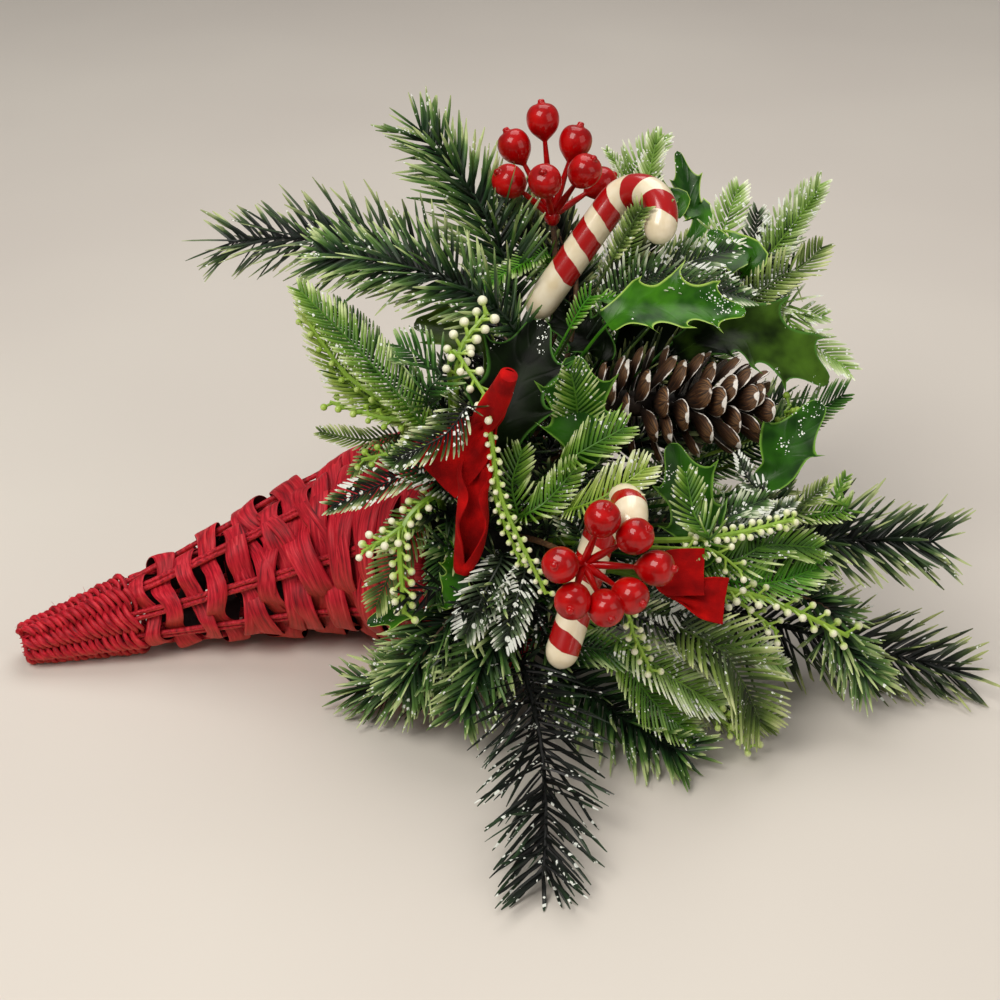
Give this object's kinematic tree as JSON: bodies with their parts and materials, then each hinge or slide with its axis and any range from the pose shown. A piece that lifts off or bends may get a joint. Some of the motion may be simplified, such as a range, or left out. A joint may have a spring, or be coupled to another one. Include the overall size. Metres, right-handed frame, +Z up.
{
  "type": "cornucopia basket arrangement",
  "caption": "Horn-shaped wicker basket lying on its side, with artificial winter greenery, berries, candy canes, velvet ribbons and a pinecone in its mouth.",
  "frame": {"origin": "middle of the small flat under the mouth hoop, on the surface that the basket stands on", "axes": "+Z up, -X towards the horn's tail, -Y towards the side made to be seen"},
  "size_m": [0.4226, 0.3019, 0.2344],
  "materials": {
    "red_reed": "dyed, matte",
    "floral_foam": "fine open cells",
    "pine_green": "moulded, satin, tipped with white",
    "fern_green": "moulded, satin, tipped with white",
    "holly_green": "moulded, glossy",
    "sprig_lime": "moulded, satin, cream beads",
    "berry_red": "lacquered",
    "candy_white": "glossy, with red bands",
    "velvet_red": "short pile",
    "cone_brown": "bare scales with white paint on their edges"
  },
  "bodies": {
    "root": {"berry_sprig_front_right": "sprig_lime", "berry_sprig_left": "sprig_lime", "berry_sprig_right": "sprig_lime", "berry_sprig_top": "sprig_lime", "candy_cane_front": "candy_white", "candy_cane_top": "candy_white", "fern_centre": "fern_green", "fern_front_right": "fern_green", "fern_left": "fern_green", "fern_over_rim": "fern_green", "fern_right": "fern_green", "fern_top": "fern_green", "fern_top_right": "fern_green", "floral_foam": "floral_foam", "holly_leaf_back": "holly_green", "holly_leaf_bright": "holly_green", "holly_leaf_centre": "holly_green", "holly_leaf_dark": "holly_green", "holly_leaf_front_left": "holly_green", "holly_leaf_right": "holly_green", "mouth_hoop": "red_reed", "pine_spray_back": "pine_green", "pine_spray_front": "pine_green", "pine_spray_front_left": "pine_green", "pine_spray_front_right": "pine_green", "pine_spray_left_long": "pine_green", "pine_spray_left_short": "pine_green", "pine_spray_right_lower": "pine_green", "pine_spray_right_upper": "pine_green", "pine_spray_top": "pine_green", "pinecone": "cone_brown", "red_berries_front": "berry_red", "red_berries_top": "berry_red", "ribbon_left": "velvet_red", "ribbon_right": "velvet_red", "stake_1": "red_reed", "stake_2": "red_reed", "stake_3": "red_reed", "stake_4": "red_reed", "stake_5": "red_reed", "stake_6": "red_reed", "stake_7": "red_reed", "stake_8": "red_reed", "tail_winding": "red_reed", "weaver_row_01": "red_reed", "weaver_row_02": "red_reed", "weaver_row_03": "red_reed", "weaver_row_04": "red_reed", "weaver_row_05": "red_reed", "weaver_row_06": "red_reed", "weaver_row_07": "red_reed", "weaver_row_08": "red_reed", "weaver_row_09": "red_reed", "weaver_row_10": "red_reed", "weaver_row_11": "red_reed", "weaver_row_12": "red_reed", "weaver_row_13": "red_reed", "weaver_row_14": "red_reed", "weaver_row_15": "red_reed", "weaver_row_16": "red_reed"}
  },
  "joints": []
}
